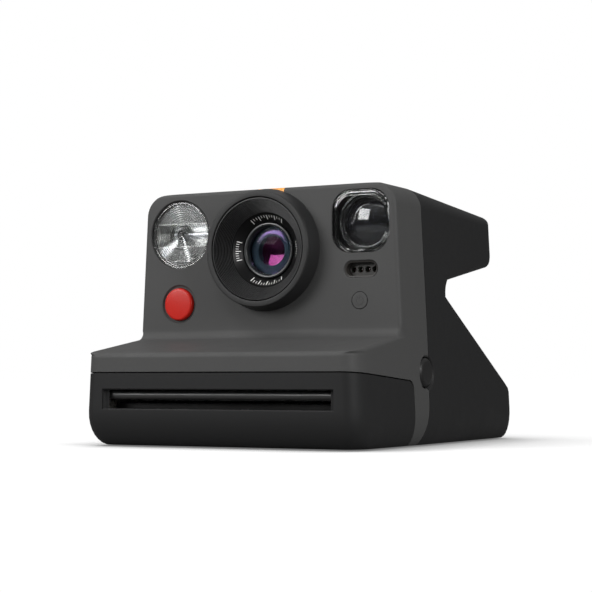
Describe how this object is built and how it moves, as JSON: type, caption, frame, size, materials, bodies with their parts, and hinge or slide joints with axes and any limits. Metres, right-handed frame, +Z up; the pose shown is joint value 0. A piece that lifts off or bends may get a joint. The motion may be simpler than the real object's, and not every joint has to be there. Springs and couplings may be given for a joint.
{
  "type": "instant camera",
  "caption": "Boxy instant camera: round lens barrel between flash and viewfinder windows, red shutter button, picture slot in a film door that swings down, hump and sloping back.",
  "frame": {"origin": "centre of the footprint, on the surface that the camera stands on", "axes": "-Y out of the lens, +X to the right of somebody who looks at the front, +Z up"},
  "size_m": [0.1122, 0.1502, 0.094],
  "materials": {
    "grey_plastic": "fine moulded texture",
    "black_plastic": "fine moulded texture",
    "inner_plastic": "matt black",
    "clear_plastic": "clear, polished",
    "coated_glass": "coated, polished",
    "steel": "satin",
    "foil": "polished",
    "red_plastic": "satin",
    "amber_plastic": "satin",
    "gear_plastic": "natural acetal",
    "board_laminate": "varnished laminate",
    "mirror_glass": "front-silvered",
    "battery_wrap": "shrink sleeve"
  },
  "bodies": {
    "camera_body": {"front_cover": "grey_plastic", "rear_cover": "black_plastic", "hinge_pin_left": "steel", "hinge_pin_right": "steel", "lens_barrel": "grey_plastic", "lens_hood": "inner_plastic", "lens_ring": "black_plastic", "front_lens": "coated_glass", "lens_tube": "black_plastic", "shutter_housing": "inner_plastic", "flash_window": "clear_plastic", "flash_reflector": "foil", "flash_tube": "clear_plastic", "flash_capacitor": "battery_wrap", "viewfinder_window": "clear_plastic", "viewfinder_lens": "coated_glass", "viewfinder_tube": "inner_plastic", "viewfinder_eyepiece": "coated_glass", "sensor_bezel": "inner_plastic", "sensor_board": "board_laminate", "shutter_board": "board_laminate", "timer_board": "board_laminate", "counter_window": "coated_glass", "rear_board": "board_laminate", "drive_motor": "steel", "gear_plate": "steel", "film_chamber": "inner_plastic", "dark_chamber": "inner_plastic", "mirror": "mirror_glass", "main_board": "board_laminate", "battery": "battery_wrap", "usb_port": "steel", "top_inlay": "amber_plastic", "cover_screw_1": "steel", "cover_screw_2": "steel", "cover_screw_3": "steel", "cover_screw_4": "steel"},
    "film_door": {"film_door": "black_plastic", "roller_bracket": "steel", "film_shield": "inner_plastic"},
    "upper_roller": {"upper_roller": "steel"},
    "lower_roller": {"lower_roller": "steel", "roller_gear": "gear_plastic"},
    "idler_gear": {"idler_gear": "gear_plastic"},
    "drive_gear": {"drive_gear": "gear_plastic"},
    "motor_pinion": {"motor_pinion": "steel"},
    "focus_disc": {"focus_disc": "gear_plastic", "far_lens": "coated_glass", "near_lens": "coated_glass"},
    "shutter_blade_left": {"shutter_blade_left": "steel"},
    "shutter_blade_right": {"shutter_blade_right": "steel"},
    "shutter_button": {"shutter_button": "red_plastic"},
    "self_timer_button": {"self_timer_button": "grey_plastic"},
    "flash_button": {"flash_button": "black_plastic"},
    "power_button": {"power_button": "black_plastic"},
    "door_release_button": {"door_release_button": "black_plastic"},
    "door_latch": {"door_latch": "steel"},
    "pick_arm": {"pick_arm": "steel"}
  },
  "joints": [
    {"name": "film_door_open", "type": "hinge", "parent": "camera_body", "child": "film_door", "pos_m": [0, -0.03235, 0.0022], "axis": [1, 0, 0], "range_deg": [0, 65]},
    {"name": "lower_roller_turn", "type": "hinge", "parent": "film_door", "child": "lower_roller", "pos_m": [0, -0.06, 0.01225], "axis": [1, 0, 0], "continuous": true},
    {"name": "upper_roller_turn", "type": "hinge", "parent": "film_door", "child": "upper_roller", "pos_m": [0, -0.06, 0.01935], "axis": [1, 0, 0], "continuous": true},
    {"name": "idler_gear_turn", "type": "hinge", "parent": "camera_body", "child": "idler_gear", "pos_m": [-0.0494, -0.05548, 0.02337], "axis": [1, 0, 0], "continuous": true},
    {"name": "drive_gear_turn", "type": "hinge", "parent": "camera_body", "child": "drive_gear", "pos_m": [-0.0494, -0.0387, 0.02412], "axis": [1, 0, 0], "continuous": true},
    {"name": "motor_pinion_turn", "type": "hinge", "parent": "camera_body", "child": "motor_pinion", "pos_m": [-0.0494, -0.026, 0.029], "axis": [1, 0, 0], "continuous": true},
    {"name": "focus_disc_turn", "type": "hinge", "parent": "camera_body", "child": "focus_disc", "pos_m": [-0.0095, -0.027, 0.0708], "axis": [0, 1, 0], "range_deg": [0, 180]},
    {"name": "shutter_blade_left_swing", "type": "hinge", "parent": "camera_body", "child": "shutter_blade_left", "pos_m": [0, -0.0213, 0.0578], "axis": [0, -1, 0], "range_deg": [0, 30], "stiffness_Nm_per_rad": 0.004},
    {"name": "shutter_blade_right_swing", "type": "hinge", "parent": "camera_body", "child": "shutter_blade_right", "pos_m": [0, -0.0207, 0.0578], "axis": [0, 1, 0], "range_deg": [0, 30], "stiffness_Nm_per_rad": 0.004},
    {"name": "shutter_button_press", "type": "slide", "parent": "camera_body", "child": "shutter_button", "axis": [0, 1, 0], "range_m": [0, 0.0012], "stiffness_N_per_m": 500},
    {"name": "self_timer_button_press", "type": "slide", "parent": "camera_body", "child": "self_timer_button", "axis": [0, 1, 0], "range_m": [0, 0.0008], "stiffness_N_per_m": 500},
    {"name": "flash_button_press", "type": "slide", "parent": "camera_body", "child": "flash_button", "axis": [0, -1, 0], "range_m": [0, 0.0008], "stiffness_N_per_m": 500},
    {"name": "power_button_press", "type": "slide", "parent": "camera_body", "child": "power_button", "axis": [0, -1, 0], "range_m": [0, 0.0008], "stiffness_N_per_m": 500},
    {"name": "door_release_press", "type": "slide", "parent": "camera_body", "child": "door_release_button", "axis": [-1, 0, 0], "range_m": [0, 0.0015], "stiffness_N_per_m": 600},
    {"name": "door_latch_slide", "type": "slide", "parent": "camera_body", "child": "door_latch", "axis": [-1, 0, 0], "range_m": [0, 0.0015], "stiffness_N_per_m": 600},
    {"name": "pick_arm_slide", "type": "slide", "parent": "camera_body", "child": "pick_arm", "axis": [0, -1, 0], "range_m": [0, 0.006], "stiffness_N_per_m": 200}
  ],
  "couplings": [
    {"joint": "upper_roller_turn", "follows": "lower_roller_turn", "ratio": -1},
    {"joint": "idler_gear_turn", "follows": "lower_roller_turn", "ratio": -0.66667},
    {"joint": "drive_gear_turn", "follows": "lower_roller_turn", "ratio": 0.5},
    {"joint": "motor_pinion_turn", "follows": "lower_roller_turn", "ratio": -1.2},
    {"joint": "shutter_blade_right_swing", "follows": "shutter_blade_left_swing", "ratio": 1},
    {"joint": "door_latch_slide", "follows": "door_release_press", "ratio": 1}
  ]
}
